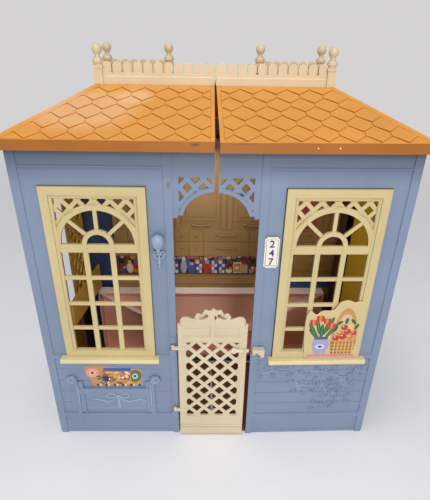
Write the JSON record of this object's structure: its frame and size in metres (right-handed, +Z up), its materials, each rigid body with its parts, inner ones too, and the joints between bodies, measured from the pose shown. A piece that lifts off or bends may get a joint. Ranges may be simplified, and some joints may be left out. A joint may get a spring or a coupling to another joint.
{
  "type": "dollhouse",
  "caption": "Folding dollhouse: shallow kitchen back with hinged front wings, arched windows, lattice gate with sliding bolt, fold-down floor and railed roof deck.",
  "frame": {"origin": "on the floor, under the middle of the whole house as it stands in the picture with both wings a little ajar", "axes": "+Z up, +X to the right seen from the front, the front with the gate faces -Y"},
  "size_m": [0.47, 0.219, 0.5233],
  "materials": {
    "wall_blue": "satin moulded plastic",
    "trim_blue": "glossy moulded plastic",
    "roof_orange": "satin moulded plastic, lightly scuffed",
    "trim_cream": "satin moulded plastic",
    "window_yellow": "satin moulded plastic",
    "printed_panel": "moulded plastic with a glossy printed flower box",
    "printed_plaque": "moulded plastic with plain printed numbers",
    "printed_card": "printed shelf scene on a thin sheet",
    "kitchen_tan": "satin moulded plastic",
    "board_navy": "satin moulded plastic",
    "panel_pink": "satin moulded plastic",
    "inner_ochre": "satin moulded plastic",
    "inner_yellow": "satin moulded plastic",
    "floor_brown": "satin moulded plastic"
  },
  "bodies": {
    "rear_house": {"rear_shell": "wall_blue", "rear_roof": "roof_orange", "rear_left_railing": "trim_cream", "rear_right_railing": "trim_cream", "rear_wall_board": "board_navy", "kitchen_cabinets": "kitchen_tan", "backsplash_card": "printed_card", "left_lower_hinge_pin": "trim_blue", "left_upper_hinge_pin": "trim_blue", "right_lower_hinge_pin": "trim_blue", "right_upper_hinge_pin": "trim_blue"},
    "left_wing": {"left_wing_shell": "wall_blue", "left_wing_floor": "floor_brown", "left_wing_roof": "roof_orange", "left_front_railing": "trim_cream", "left_window_frame": "window_yellow", "left_window_sill": "window_yellow", "porch_lamp": "trim_blue", "side_trellis": "inner_ochre", "stair_handrail": "inner_ochre"},
    "right_wing": {"right_wing_shell": "wall_blue", "right_wing_floor": "floor_brown", "right_wing_roof": "roof_orange", "right_front_railing": "trim_cream", "right_window_frame": "window_yellow", "right_window_sill": "window_yellow", "bolt_keeper": "trim_cream", "number_plaque": "printed_plaque", "flower_panel": "printed_panel", "side_wall_panel": "inner_yellow"},
    "gate": {"gate": "trim_cream"},
    "gate_bolt": {"gate_bolt": "trim_cream"},
    "fold_down_floor": {"fold_down_floor": "panel_pink"}
  },
  "joints": [
    {"name": "left_wing_hinge", "type": "hinge", "parent": "rear_house", "child": "left_wing", "pos_m": [-0.23211, 0.06151, 0.2], "axis": [0, 0, -1], "range_deg": [-0.32, 179.6]},
    {"name": "right_wing_hinge", "type": "hinge", "parent": "rear_house", "child": "right_wing", "pos_m": [0.22989, 0.06151, 0.2], "axis": [0, 0, 1], "range_deg": [-1.12, 178.8]},
    {"name": "gate_hinge", "type": "hinge", "parent": "left_wing", "child": "gate", "pos_m": [-0.0544, -0.09889, 0.1], "axis": [0, 0, -1], "range_deg": [0, 120]},
    {"name": "gate_bolt_slide", "type": "slide", "parent": "gate", "child": "gate_bolt", "axis": [1, -0.0056, 0], "range_m": [0, 0.004]},
    {"name": "floor_panel_hinge", "type": "hinge", "parent": "rear_house", "child": "fold_down_floor", "pos_m": [-0.00111, 0.07701, 0.013], "axis": [1, 0, 0], "range_deg": [0, 90]}
  ]
}
